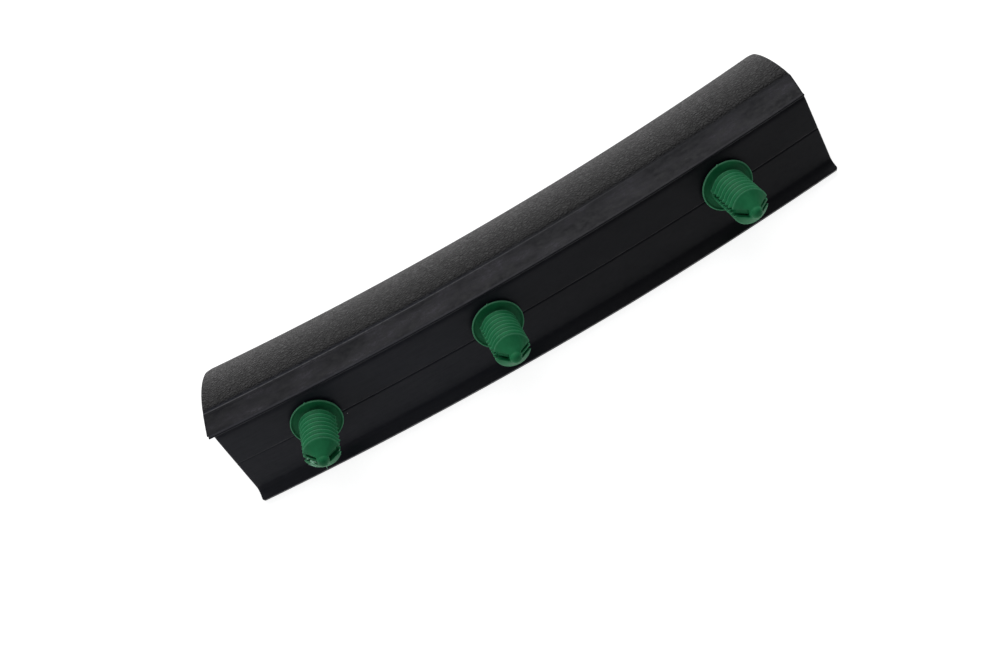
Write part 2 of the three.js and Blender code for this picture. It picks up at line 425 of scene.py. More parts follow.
def rungs():
    """Pairs of outer and inner points across the section, from the lip's edge to the free edge."""
    ladder = []
    parting = [PARTING_TRAVEL + drift for drift in (-0.4, 0, 0.4, 0.8)]
    for travel in knots(LIP_TRAVEL, 0, PANEL_STEP, [LIP_TRAVEL, PANEL_TRAVEL, *parting, 0]):
        point = panel_point(travel)
        ladder.append({"travel": travel, "outer": point, "inner": inside_of(point, wall_at(travel))})
    for dw, dn in BEAD_OUTLINE:
        ladder.append({"travel": 0.0, "outer": (CORNER_W + dw, dn, None), "inner": None})
    for travel in knots(0, FREE_TRAVEL, SHOW_STEP, [0, SECOND_LINE_TRAVEL, BAND_LENGTH, FREE_TRAVEL]):
        point = show_face_point(travel)
        ladder.append({"travel": travel, "outer": point, "inner": inside_of(point, WALL)})
    first = next(i for i, rung in enumerate(ladder) if rung["travel"] > INNER_FILLET[0])
    last = next(i for i, rung in enumerate(ladder) if rung["travel"] > INNER_FILLET[1])
    start, end = ladder[first]["inner"], ladder[last]["inner"]
    middle = inner_corner()
    for i in range(first, last):
        t = (i - first) / (last - first)
        a, b, c = (1 - t) ** 2, 2 * t * (1 - t), t ** 2
        ladder[i]["inner"] = tuple(a * start[k] + b * middle[k] + c * end[k] for k in range(2))
    return ladder


# ---- the strip ----

def left_end(travel, on_show_face):
    """The left end flares towards the crease, and the bead's corner is rounded."""
    if on_show_face:
        flare = BEAD_FLARE * max(0, 1 - travel / BAND_LENGTH)
        return SHOW_ENDS[0] - flare + round_over(travel, BEAD_CORNER_RADIUS)
    return PANEL_ENDS[0] - LEFT_FLARE * max(0, 1 - travel / PANEL_TRAVEL)


def right_end(travel, on_show_face):
    """Over the band, the right end runs out from the panel's end to the show face's."""
    if on_show_face:
        return PANEL_ENDS[1] + (SHOW_ENDS[1] - PANEL_ENDS[1]) * min(travel / BAND_LENGTH, 1)
    return PANEL_ENDS[1]


def corner_rounding(travel):
    """How far the corners of the free edge and the lip have fallen back from the ends."""
    free = round_over(FREE_TRAVEL - travel, FREE_CORNER_RADIUS)
    lip = round_over(travel - LIP_TRAVEL, LIP_CORNER_RADIUS)
    return free + lip


def relief(travel, along):
    """Height of the moulded lines above the plain outer surface."""
    length_share = (along - SHOW_ENDS[0]) / (SHOW_ENDS[1] - SHOW_ENDS[0])
    crispness = np.clip((1 - length_share) / (1 - LINES_FADE_FROM), 0, 1)
    parting_depth = PARTING_DEPTH * np.clip((along - SHOW_ENDS[0]) / PARTING_FADE, 0.3, 1)
    parting_travel = PARTING_TRAVEL + PARTING_DRIFT * (along - PARTING_STRAIGHT)
    height = -parting_depth * hump(travel, parting_travel, PARTING_WIDTH)
    height += RIDGE_HEIGHT * crispness * hump(travel, BAND_LENGTH, RIDGE_WIDTH)
    height += SECOND_LINE_HEIGHT * crispness * hump(travel, SECOND_LINE_TRAVEL, SECOND_LINE_WIDTH)
    left_depth, right_depth = RIDGE_HOLLOW_DEPTHS
    hollow_depth = left_depth + (right_depth - left_depth) * length_share
    height -= hollow_depth * hump(travel, RIDGE_HOLLOW_TRAVEL, RIDGE_HOLLOW_WIDTH)
    if travel < 0:
        height -= CREASE_DEPTH * hump(travel, CREASE_TRAVEL, CREASE_WIDTH)
    return height


def splay(travel, along):
    """How far the show face stands out past its section's curve, most at its ends and its free edge."""
    down = np.clip((travel - BAND_LENGTH) / GRAIN_LENGTH, 0, 1)
    middle = sum(SHOW_ENDS) / 2
    half = (SHOW_ENDS[1] - SHOW_ENDS[0]) / 2
    return down * (SPLAY_MIDDLE + SPLAY_ENDS * ((along - middle) / half) ** 2)


def lip_shortening(travel, along):
    """The lip runs out a little towards the right end."""
    over_lip = np.clip((PANEL_TRAVEL - travel) / (PANEL_TRAVEL - LIP_TRAVEL), 0, 1)
    towards_right = np.clip((along - LIP_RUN_OUT_START) / (PANEL_ENDS[1] - LIP_RUN_OUT_START), 0, 1)
    return LIP_RUN_OUT * over_lip * towards_right


def stations(travel, on_show_face):
    """Where the section is repeated along the bow, closest together at the two ends."""
    left = left_end(travel, on_show_face) + corner_rounding(travel)
    right = right_end(travel, on_show_face) - corner_rounding(travel)
    last = END_STATIONS[-1]
    middle = np.linspace(0, 1, STATION_COUNT)[1:-1]
    between = left + last + (right - left - 2 * last) * middle
    return np.concatenate([left + END_STATIONS, between, right - END_STATIONS[::-1]])


def edge_fall(rung):
    """How far the rounded edges have fallen away at each of a rung's stations."""
    last = END_STATIONS[-1]
    between = np.full(STATION_COUNT - 2, last)
    end_distance = np.concatenate([END_STATIONS, between, END_STATIONS[::-1]])
    edge_distance = min(rung["travel"] - LIP_TRAVEL, FREE_TRAVEL - rung["travel"])
    return round_over(np.minimum(end_distance, edge_distance), EDGE_RADIUS)


def rung_lines(rung, along):
    """A rung's outer and inner lines of points along the strip, in the frame."""
    w, n, heading = rung["outer"]
    out = np.tile([w, n], (len(along), 1)).astype(float)
    back = np.tile(rung["inner"], (len(along), 1)).astype(float)
    if heading is not None:
        outward = np.array([math.sin(heading), -math.cos(heading)])
        onward = np.array([math.cos(heading), math.sin(heading)])
        shift = splay(rung["travel"], along)[:, None] * outward
        shift = shift + lip_shortening(rung["travel"], along)[:, None] * onward
        out += shift + relief(rung["travel"], along)[:, None] * outward
        back += shift
    share = (edge_fall(rung) / np.linalg.norm(out - back, axis=1))[:, None]
    rounded_out = out + (back - out) * share
    rounded_back = back + (out - back) * share
    return [place(along, side[:, 0], side[:, 1]) for side in (rounded_out, rounded_back)]


def strip_grids():
    """Outer and inner points, and the material's coordinates, as rung by station arrays."""
    outer, inner, coordinates = [], [], []
    on_show_face = False
    for rung in rungs():
        on_bead = rung["outer"][2] is None
        on_show_face = on_show_face or on_bead
        along = stations(rung["travel"], on_show_face)
        outer_line, inner_line = rung_lines(rung, along)
        outer.append(outer_line)
        inner.append(inner_line)
        coordinates.append(np.stack([along, np.full(len(along), rung["travel"])], axis=1))
    return np.array(outer), np.array(inner), np.array(coordinates)


def strip_faces(rows, columns):
    """Outer surface, inner surface, and the four edges between them."""
    back = rows * columns
    faces = grid_faces(rows, columns) + grid_faces(rows, columns, back)
    for i in range(rows - 1):
        for j in (0, columns - 1):
            a, b = i * columns + j, (i + 1) * columns + j
            faces.append((a, b, back + b, back + a))
    for j in range(columns - 1):
        for i in (0, rows - 1):
            a = i * columns + j
            faces.append((a, a + 1, back + a + 1, back + a))
    return faces


def mark_strip_places(strip, coordinates):
    """The material's coordinates: along, travel, and 1 on the outer surface or 0 on the inner."""
    flat = coordinates.reshape(-1, 2)
    front = np.column_stack([flat, np.ones(len(flat))])
    back = np.column_stack([flat, np.zeros(len(flat))])
    values = np.concatenate([front, back]).astype(np.float32)
    attribute = strip.data.attributes.new("strip_place", "FLOAT_VECTOR", "POINT")
    attribute.data.foreach_set("vector", values.ravel())


def strip_piece():
    outer, inner, coordinates = strip_grids()
    rows, columns = outer.shape[:2]
    points = np.concatenate([outer.reshape(-1, 3), inner.reshape(-1, 3)])
    points[:, 2] = np.maximum(points[:, 2], 0)  # the edges rest flat on the floor
    strip = new_object("strip_moulding", points, strip_faces(rows, columns))
    mark_strip_places(strip, coordinates)
    face_outwards(strip)
    cut(strip, [clip_hole(clip["body"]) for clip in CLIPS.values()])
    strip.data.shade_smooth()
    strip.data.set_sharp_from_angle(angle=math.radians(40))
    return strip


def clip_hole(body):
    """The cutter for a clip's round hole, well past both faces of the panel."""
    reach = 2 * WALL
    profile = [(0, -reach), (HOLE_RADIUS, -reach), (HOLE_RADIUS, reach), (0, reach)]
    hole = revolve("hole", profile)
    hole.data.transform(clip_frame(body))
    return hole


# ---- a clip, in its own millimetres ----

def barb_drop(height):
    """0 at the crest of a barb, 1 at its root, with the steep side towards the flange."""
    phase = ((height - FIRST_CREST) / BARB_PITCH) % 1
    return min(phase / (1 - BARB_STEEP_SHARE), (1 - phase) / BARB_STEEP_SHARE)


def nose_curve():
    """The smooth nose, from the last barb to the bulb: a cone that hollows a little into the bulb."""
    steps = 16
    curve = []
    for i in range(1, steps + 1):
        share = i / steps
        radius = CREST_RADIUS + (BULB_RADIUS - CREST_RADIUS) * share ** 0.9
        curve.append((radius, LAST_CREST + (NOSE_BASE + 0.3 - LAST_CREST) * share))
    return curve


def ear_share(angle, side):
    """How much a barb turns up: 1 beside the slot on that side, on the upper half shell only."""
    if math.sin(angle) < 0:
        return 0
    slot_angle = 0 if side > 0 else math.pi
    from_slot = abs(math.remainder(angle - slot_angle, 2 * math.pi))
    return hump(from_slot, math.asin(SLOT / CREST_RADIUS) + EAR_GAP, EAR_WIDTH)


def barrel_shell(eared_side):
    """The ridged barrel and its nose, hollow, open towards the flange."""
    heights = list(np.arange(BARREL_FOOT, LAST_CREST, BARREL_STEP))
    outer = [(CREST_RADIUS, height) for height in heights] + [(CREST_RADIUS, LAST_CREST)]
    outer += nose_curve()
    inner = [
        (HOLLOW_TIP_RADIUS, NOSE_BASE - 0.6),
        (HOLLOW_RADIUS, LAST_CREST - 0.2),
        (HOLLOW_RADIUS, BARREL_FOOT),
    ]

    def radius_at(radius, height, angle):
        if height >= LAST_CREST or radius < CREST_RADIUS:
            return radius
        if height < FIRST_CREST - BARB_PITCH * BARB_STEEP_SHARE:
            return ROOT_RADIUS
        drop = barb_drop(height)
        barb = CREST_RADIUS - (CREST_RADIUS - ROOT_RADIUS) * drop
        return barb + EAR * (1 - drop) * ear_share(angle, eared_side)

    return revolve("barrel", outer + inner, segments=144, radius_at=radius_at)


def slot_cutters():
    """Two slots down the sides of the barrel, wider where they pass through the nose."""
    cutters = []
    for side in (-1, 1):
        low, high = sorted((side * SLOT_INSIDE, side * PAST_BARREL))
        cutters.append(block("slot", (low, -SLOT, SLOT_FOOT), (high, SLOT, LAST_CREST)))
        low, high = sorted((side * WINDOW_INSIDE, side * PAST_BARREL))
        cutters.append(block("window", (low, -WINDOW, WINDOW_FOOT), (high, WINDOW, NOSE_BASE + 1)))
    return cutters


def bulb():
    """The rounded tip that the two half shells meet in, on its own core."""
    steps = 12
    dome = []
    for i in range(steps + 1):
        turn = math.pi / 2 * i / steps
        dome.append((BULB_RADIUS * math.cos(turn) ** 0.8, NOSE_BASE + (TIP - NOSE_BASE) * math.sin(turn)))
    dome[-1] = (0, TIP)
    core = [
        (0, CORE_FOOT),
        (CORE_RADIUS, CORE_FOOT),
        (CORE_RADIUS, NOSE_BASE - 2.2),
        (BULB_RADIUS, NOSE_BASE - 0.9),
    ]
    return revolve("bulb", core + dome)


def web(side, reach, sunk, half):
    """A fan in the slots' plane, under the nose. reach is how far out it goes, sunk how deep it lies."""
    outline = [
        (0, WEB_FOOT),
        (side * reach, WEB_FOOT),
        (side * reach, LAST_CREST - sunk + (CREST_RADIUS - reach) * FAN_SLOPE),
        (side * BULB_RADIUS, NOSE_BASE - sunk),
        (0, NOSE_BASE - sunk),
    ]
    points = [(x, y, z) for y in (-half, half) for x, z in outline]
    count = len(outline)
    faces = [tuple(range(count)), tuple(range(count, 2 * count))]
    for i in range(count):
        after = (i + 1) % count
        faces.append((i, after, count + after, count + i))
    plate = new_object("web", points, faces)
    face_outwards(plate)
    return plate


def rolled_rim():
    """The flange rim's round section, from underneath, over the top, to the dish."""
    steps = 8
    centre = (FLANGE_RADIUS - RIM_RADIUS, RIM_HEIGHT - RIM_RADIUS)
    rim = []
    for i in range(steps + 1):
        turn = math.radians(-70 + 250 * i / steps)
        rim.append((centre[0] + RIM_RADIUS * math.cos(turn), centre[1] + RIM_RADIUS * math.sin(turn)))
    return rim


def nub(angle):
    """A tiny stud left by the mould, on the flange's rim."""
    profile = [(0, 0.7), (0.26, 0.75), (NUB_RADIUS, 1.2), (0.2, 1.45), (0, 1.5)]
    stud = revolve("nub", profile, segments=12)
    stud.data.transform(Matrix.Translation((NUB_OFFSET * math.cos(angle), NUB_OFFSET * math.sin(angle), 0)))
    return stud


def flange():
    """The dished, thin flange with its rolled rim and two nubs."""
    under = [(0, 0.32), (HUB_RADIUS, 0.32), (6.6, 0.36), (7.8, 0.5), (8.45, 0.66)]
    dish = [(7.9, 1.0), (7.0, 0.92), (6.2, 0.95), (5.6, 1.15), (5.3, 1.6), (0, 1.6)]
    disc = revolve("flange", under + rolled_rim() + dish, segments=128)
    return [disc, *(nub(math.radians(NUBS_TURNED + half_turn)) for half_turn in (0, 180))]


def snap_head():
    """Neck through the panel's hole and the split head that snaps in behind it."""
    profile = [
        (0, HEAD_BOTTOM),
        (2.3, HEAD_BOTTOM),
        (2.9, HEAD_BOTTOM + 0.25),
        (HEAD_RADIUS - 0.1, HEAD_TOP - 1.05),
        (HEAD_RADIUS, HEAD_TOP - 0.8),
        (HEAD_RADIUS, HEAD_TOP - 0.12),
        (HEAD_RADIUS - 0.15, HEAD_TOP),
        (NECK_RADIUS, HEAD_TOP + 0.05),
        (NECK_RADIUS, 0.6),
        (0, 0.6),
    ]
    head = revolve("head", profile)
    low = (-PAST_BARREL, -HEAD_SPLIT, HEAD_BOTTOM - 1)
    high = (PAST_BARREL, HEAD_SPLIT, HEAD_TOP + 1.6)
    cut(head, [block("split", low, high)])
    return head


def soften(thing):
    """One skin over joined parts, with the small radii of a moulding."""
    remesh = thing.modifiers.new("skin", "REMESH")
    remesh.mode = "VOXEL"
    remesh.voxel_size = VOXEL
    smooth = thing.modifiers.new("soft", "SMOOTH")
    smooth.factor = 0.5
    smooth.iterations = 2
    bake_modifiers(thing)


def whisker(start, direction, length, radius, chance):
    """One torn strand: a thin tapered tube that curls."""
    steps, sides = STRAND_STEPS, STRAND_SIDES
    points, faces = [], []
    centre, heading = Vector(start), Vector(direction).normalized()
    curl = Vector((chance.uniform(-1, 1), chance.uniform(-1, 1), chance.uniform(-1, 1))) * STRAND_CURL
    for i in range(steps + 1):
        thin = radius * (1 - STRAND_TAPER * i / steps)
        across = heading.orthogonal().normalized()
        other = heading.cross(across)
        for k in range(sides):
            angle = 2 * math.pi * k / sides
            points.append(centre + (across * math.cos(angle) + other * math.sin(angle)) * thin)
        centre = centre + heading * (length / steps)
        heading = (heading + curl).normalized()
    for i in range(steps):
        for k in range(sides):
            after = (k + 1) % sides
            faces.append((i * sides + k, i * sides + after, (i + 1) * sides + after, (i + 1) * sides + k))
    faces.append(tuple(range(sides)))
    faces.append(tuple(range(steps * sides, (steps + 1) * sides)))
    strand = new_object("whisker", points, faces)
    face_outwards(strand)
    return strand


def fraying():
    """Pale torn strands in one window, and a thread at the tip, where the clip was pulled out."""
    chance = random.Random(11)
    strands = []
    for _ in range(STRAND_COUNT):
        x = chance.uniform(*TORN_X)
        y = chance.uniform(*TORN_Y)
        z = LAST_CREST + (CREST_RADIUS + x) * 0.95 + chance.uniform(*TORN_HEIGHTS)
        direction = (chance.uniform(0.5, 1.2), chance.uniform(-1.0, -0.1), chance.uniform(0.0, 0.5))
        length = chance.uniform(*STRAND_LENGTHS)
        radius = chance.uniform(*STRAND_RADII)
        strands.append(whisker((x, y, z), direction, length, radius, chance))
    thread_start = (0.5, -1.7, NOSE_BASE + 0.5)
    thread_direction = (0.1, -1, -0.3)
    strands.append(whisker(thread_start, thread_direction, THREAD_LENGTH, THREAD_RADIUS, chance))
    return strands


def tone_marks(thing, skin_count):
    """Painted highlights along the barb crests and the flange's rim, pale torn strands, and painted shade in
    the barb valleys and the flange's dish.
    """
    points = np.zeros(len(thing.data.vertices) * 3, np.float32)
    thing.data.vertices.foreach_get("co", points)
    points = points.reshape(-1, 3)
    radius = np.hypot(points[:, 0], points[:, 1])
    height = points[:, 2]
    crests = FIRST_CREST + BARB_PITCH * np.arange(BARB_COUNT)
    from_crest = height[:, None] - crests[None, :]
    barrel = (radius > ROOT_RADIUS - 0.3) * (radius < CREST_RADIUS + 0.4)
    # crest and rim mark painted highlights: pale lines along each barb crest and round the flange's rolled
    # rim
    crest = hump(np.abs(from_crest).min(axis=1), 0, 0.3) * barrel
    # root marks painted shade in the valley on the flange side of each crest after the first
    root = hump(np.abs(from_crest[:, 1:] + 0.55).min(axis=1), 0, 0.45) * barrel
    rim = np.clip((radius - FLANGE_RADIUS + 0.5) / 0.25, 0, 1) * (height > 0.5) * (height < 2)
    # dish marks painted shade over the flange's dish, deepest next to the barrel
    dish = (radius < FLANGE_RADIUS - 0.6) * (height > 0.5) * (height < 1.6)
    # pale holds the painted highlights, and the real paleness of the torn strands
    pale = np.maximum(CREST_HIGHLIGHT * crest, RIM_HIGHLIGHT * rim)
    pale[skin_count:] = FRAYED_PALE
    shade = np.maximum(root, DISH_SHADE * dish * np.clip((FLANGE_RADIUS - radius) / 3, 0, 1))
    for name, values in (("pale", pale), ("shade", shade)):
        attribute = thing.data.attributes.new(name, "FLOAT", "POINT")
        attribute.data.foreach_set("value", values.astype(np.float32))


def clip_piece(node, body, turned, askew, fan, frayed):
    """One whole clip at its place, with what it rides on and replaces."""
    shell = barrel_shell(-fan)
    cut(shell, slot_cutters())
    webs = [web(fan, **FULL_FAN), web(-fan, **SHORT_FAN)]
    clip = join([shell, bulb(), *webs, *flange(), snap_head()])
    clip.name = node + "_moulding"
    soften(clip)
    skin_count = len(clip.data.vertices)
    if frayed:
        clip = join([clip, *fraying()])
    tone_marks(clip, skin_count)
    lean = Matrix.Rotation(math.radians(askew), 4, "Y")
    clip.data.transform(clip_frame(body) @ lean @ Matrix.Rotation(math.radians(turned), 4, "Z"))
    clip.data.shade_smooth()
    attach(clip, body)
    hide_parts(node)
    return clip


# ---- materials ----

# The panel's blue tint is a painted reflection of bluish light; its darker right-end tone is painted shade.
PANEL_DARK = (0.0062, 0.0070, 0.0118, 1)
PANEL_LIGHT = (0.0086, 0.0096, 0.0150, 1)
PANEL_PAINTED_SHADE_RIGHT = (0.0056, 0.0058, 0.0080, 1)
BAND_BLACK = (0.0050, 0.0050, 0.0070, 1)
BAND_SCUFFED = (0.048, 0.045, 0.055, 1)
RIDGE_WEAR_AND_HIGHLIGHT = (0.075, 0.074, 0.078, 1)
BEAD_PAINTED_HIGHLIGHT = (0.022, 0.021, 0.025, 1)
GRAIN_BLACK = (0.0105, 0.0100, 0.0103, 1)
GRAIN_PAINTED_REFLECTION = (0.0365, 0.0350, 0.0357, 1)
GRAIN_TOP_BLACK = (0.023, 0.022, 0.0225, 1)
GRAIN_TOP_PAINTED_REFLECTION = (0.084, 0.081, 0.082, 1)
DUST = (0.35, 0.35, 0.36, 1)
NYLON_DEEP = (0.005, 0.118, 0.042, 1)
NYLON_LIGHT = (0.010, 0.148, 0.055, 1)
NYLON_FLOW = (0.016, 0.165, 0.068, 1)
NYLON_PAINTED_SHADE = (0.001, 0.034, 0.014, 1)
NYLON_PAINTED_HIGHLIGHT = (0.065, 0.27, 0.14, 1)
NYLON_TORN = (0.32, 0.62, 0.44, 1)


class Nodes:
    """Short calls for building one material's node tree."""

    def __init__(self, name):
        self.material = bpy.data.materials.new(name)
        self.material.use_nodes = True
        self.tree = self.material.node_tree
        self.shader = self.tree.nodes["Principled BSDF"]

    def add(self, kind, settings=None, **inputs):
        """A new node. Inputs are named by keyword, with _ for a space."""
        node = self.tree.nodes.new(kind)
        for name, value in (settings or {}).items():
            setattr(node, name, value)
        for name, value in inputs.items():
            self.feed(node, name.replace("_", " "), value)
        return node

    def feed(self, node, name, value):
        """Links a socket or sets a value. The input is given by its name, or by its place as digits."""
        socket = node.inputs[int(name)] if name.isdigit() else node.inputs[name]
        if isinstance(value, bpy.types.NodeSocket):
            self.tree.links.new(value, socket)
        else:
            socket.default_value = value

    def maths(self, operation, first, second=0.0):
        node = self.add("ShaderNodeMath", {"operation": operation})
        self.feed(node, "0", first)
        self.feed(node, "1", second)
        return node.outputs[0]

    def times(self, first, *others):
        """The product of all the values."""
        product = first
        for other in others:
            product = self.maths("MULTIPLY", product, other)
        return product

    def noise(self, vector, scale, detail=4.0, roughness=0.55, distortion=0.0):
        node = self.add("ShaderNodeTexNoise", Scale=scale, Detail=detail, Roughness=roughness)
        self.feed(node, "Distortion", distortion)
        self.feed(node, "Vector", vector)
        return node.outputs["Fac"]

    def voronoi(self, vector, scale, feature, randomness=1.0):
        node = self.add("ShaderNodeTexVoronoi", {"feature": feature}, Scale=scale, Randomness=randomness)
        self.feed(node, "Vector", vector)
        return node

    def stretch(self, vector, scale):
        node = self.add("ShaderNodeMapping")
        self.feed(node, "Vector", vector)
        node.inputs["Scale"].default_value = scale
        return node.outputs["Vector"]

    def between(self, value, low, high, start=0.0, end=1.0):
        """value from low..high mapped smoothly to start..end."""
        node = self.add("ShaderNodeMapRange", {"interpolation_type": "SMOOTHSTEP"})
        for name, number in (("From Min", low), ("From Max", high), ("To Min", start), ("To Max", end)):
            node.inputs[name].default_value = number
        self.feed(node, "Value", value)
        return node.outputs["Result"]

    def stripe(self, value, rise, fall):
        """1 between two smooth edges, each given by where it starts and ends."""
        return self.times(self.between(value, *rise), self.between(value, *fall, 1.0, 0.0))

    def mix(self, share, first, second):
        node = self.add("ShaderNodeMix", {"data_type": "RGBA"})
        self.feed(node, "0", share)
        self.feed(node, "6", first)
        self.feed(node, "7", second)
        return node.outputs[2]

    def bump(self, height, strength, distance, normal=None):
        node = self.add("ShaderNodeBump", Strength=strength, Distance=distance)
        self.feed(node, "Height", height)
        if normal is not None:
            self.feed(node, "Normal", normal)
        return node.outputs["Normal"]


class StripNodes(Nodes):
    """The strip's nodes, with its coordinates and its regions as sockets."""

    def __init__(self, name):
        super().__init__(name)
        self.flat = self.add("ShaderNodeAttribute", {"attribute_name": "strip_place"}).outputs["Vector"]
        split = self.add("ShaderNodeSeparateXYZ", Vector=self.flat)
        self.along, self.travel, self.front = split.outputs["X"], split.outputs["Y"], split.outputs["Z"]
        self.solid = self.add("ShaderNodeTexCoord").outputs["Object"]
        self.rightwards = self.between(self.along, -40, 60)
        # the grain greys towards the free edge: a painted reflection
        self.free_edge_reflection = self.between(self.travel, BAND_LENGTH + 2.5, FREE_TRAVEL - 4)
        past_ridge = self.between(self.travel, BAND_LENGTH + 0.3, BAND_LENGTH + 2.6)
        self.grained = self.times(past_ridge, self.front)
        band = self.stripe(self.travel, (0.1, 0.6), (BAND_LENGTH - 0.4, BAND_LENGTH + 0.4))
        self.band = self.times(band, self.front)
        self.scuff = self.noise(self.stretch(self.flat, (0.5, 1.0, 1.0)), 0.8, 6, 0.8)


def panel_colour(nodes):
    """Faint streaks along the strip, with painted light: the bluish tint is a painted reflection, and the
    darker, less blue right end is painted shade.
    """
    streaks = nodes.noise(nodes.stretch(nodes.flat, (0.06, 1.6, 1.0)), 1.0, 3)
    streaked = nodes.mix(nodes.between(streaks, 0.35, 0.7), PANEL_DARK, PANEL_LIGHT)
    return nodes.mix(nodes.rightwards, streaked, PANEL_PAINTED_SHADE_RIGHT)


def band_colour(nodes):
    """Black, with cloudy patches of pale scuffs."""
    cloud = nodes.noise(nodes.stretch(nodes.flat, (0.35, 1.0, 1.0)), 0.16, 5)
    scuffed = nodes.times(nodes.between(cloud, 0.40, 0.66), nodes.between(nodes.scuff, 0.38, 0.70))
    return nodes.mix(scuffed, BAND_BLACK, BAND_SCUFFED)


def with_ridge_wear_and_highlights(nodes, colour):
    """Adds a pale line along the ridge, partly rubbed and partly a painted highlight, which fades to the
    right, and a painted highlight along the bead.
    """
    # mottling for the ridge's rubbed line and for the painted highlights
    wear_and_highlight_mottle = nodes.times(nodes.between(nodes.scuff, 0.30, 0.55), nodes.front)
    leftwards = nodes.between(nodes.along, -60, 110, 1.0, 0.0)
    ridge_rise = (BAND_LENGTH - 0.35, BAND_LENGTH - 0.05)
    ridge_fall = (BAND_LENGTH + 0.05, BAND_LENGTH + 0.3)
    # the ridge line: partly rubbed, partly a painted highlight
    ridge = nodes.stripe(nodes.travel, ridge_rise, ridge_fall)
    colour = nodes.mix(nodes.times(ridge, wear_and_highlight_mottle, leftwards), colour, RIDGE_WEAR_AND_HIGHLIGHT)
    # a painted highlight along the bead, mottled
    bead = nodes.stripe(nodes.travel, (-0.12, -0.02), (0.02, 0.25))
    return nodes.mix(nodes.times(bead, wear_and_highlight_mottle, 0.5), colour, BEAD_PAINTED_HIGHLIGHT)


def with_dust(nodes, colour):
    """Adds a few pale specks, in a tenth of the cells."""
    cells = nodes.voronoi(nodes.solid, 160.0, "F1")
    lot = nodes.add("ShaderNodeSeparateColor", Color=cells.outputs["Color"]).outputs[0]
    rare = nodes.maths("GREATER_THAN", lot, 0.90)
    speck = nodes.times(nodes.between(cells.outputs["Distance"], 0.02, 0.035, 1.0, 0.0), rare)
    return nodes.mix(nodes.times(speck, 0.7), colour, DUST)


def leather_grain(nodes):
    """Height of the grain: pebbles between fine creases, over longer wrinkles."""
    warped = nodes.add("ShaderNodeVectorMath", {"operation": "ADD"})
    nodes.feed(warped, "0", nodes.stretch(nodes.flat, (0.8, 1.15, 1.0)))
    nodes.feed(warped, "1", nodes.noise(nodes.flat, 0.7, 2))
    creases = nodes.voronoi(warped.outputs[0], 0.75, "DISTANCE_TO_EDGE").outputs["Distance"]
    pebbles = nodes.between(creases, 0.0, 0.28)
    wrinkles = nodes.noise(nodes.stretch(nodes.flat, (1.0, 0.6, 1.0)), 0.6, 6, 0.7, 0.6)
    grain = nodes.maths("ADD", nodes.times(pebbles, 0.45), wrinkles)
    return nodes.times(grain, nodes.grained)


def strip_colour(nodes, grain):
    """The panel's, the band's and the grained face's colours, with their scuffs and dust, and painted light:
    a painted reflection that greys the grain towards the free edge, painted highlights along the ridge and
    the bead, and painted shade towards the panel's right end.
    """
    colour = nodes.mix(nodes.band, panel_colour(nodes), band_colour(nodes))
    # grain colour, greyer towards the free edge as a painted reflection
    colour = nodes.mix(nodes.grained, colour, nodes.mix(nodes.free_edge_reflection, GRAIN_BLACK, GRAIN_PAINTED_REFLECTION))
    colour = with_dust(nodes, with_ridge_wear_and_highlights(nodes, colour))
    tops = nodes.times(nodes.between(grain, 0.5, 1.0), nodes.grained)
    # the grain's tops, also greyer towards the free edge as a painted reflection
    top_colour = nodes.mix(nodes.free_edge_reflection, GRAIN_TOP_BLACK, GRAIN_TOP_PAINTED_REFLECTION)
    return nodes.mix(nodes.times(tops, 0.9), colour, top_colour)


def strip_roughness(nodes):
    """Patchy as the scuffs are, and rougher over the grain."""
    patchy = nodes.between(nodes.scuff, 0.35, 0.65, 0.38, 0.58)
    return nodes.maths("ADD", patchy, nodes.times(nodes.grained, 0.14))


def strip_shine(nodes):
    """Specular level: dulled by handling on the band, and on the panel towards the right end."""
    dull = nodes.between(nodes.travel, 0.5, BAND_LENGTH - 1.0, 0.13, 0.17)
    handled = nodes.stripe(nodes.travel, (-0.2, 0.0), (BAND_LENGTH + 0.5, BAND_LENGTH + 3.0))
    band_dull = nodes.times(dull, handled)
    panel_dull = nodes.times(nodes.between(nodes.travel, -0.4, -0.2, 0.07, 0.0), nodes.rightwards)
    return nodes.maths("SUBTRACT", nodes.maths("SUBTRACT", 0.25, band_dull), panel_dull)


def strip_normal(nodes, grain):
    """Long shallow waves from the mould, a very fine texture, and the leather grain."""
    normal = nodes.bump(nodes.noise(nodes.solid, 60.0, 2), 0.25, 0.0012)
    normal = nodes.bump(nodes.noise(nodes.solid, 2600.0, 3), 0.12, 0.00012, normal)
    return nodes.bump(grain, 1.0, 0.0010, normal)


def strip_plastic():
    """Black plastic: leather grain past the ridge, a scuffed satin band, a smooth panel, dust specks."""
    nodes = StripNodes("strip_plastic")
    grain = leather_grain(nodes)
    nodes.feed(nodes.shader, "Base Color", strip_colour(nodes, grain))
    nodes.feed(nodes.shader, "Roughness", strip_roughness(nodes))
    nodes.feed(nodes.shader, "Specular IOR Level", strip_shine(nodes))
    nodes.feed(nodes.shader, "Normal", strip_normal(nodes, grain))
    return nodes.material


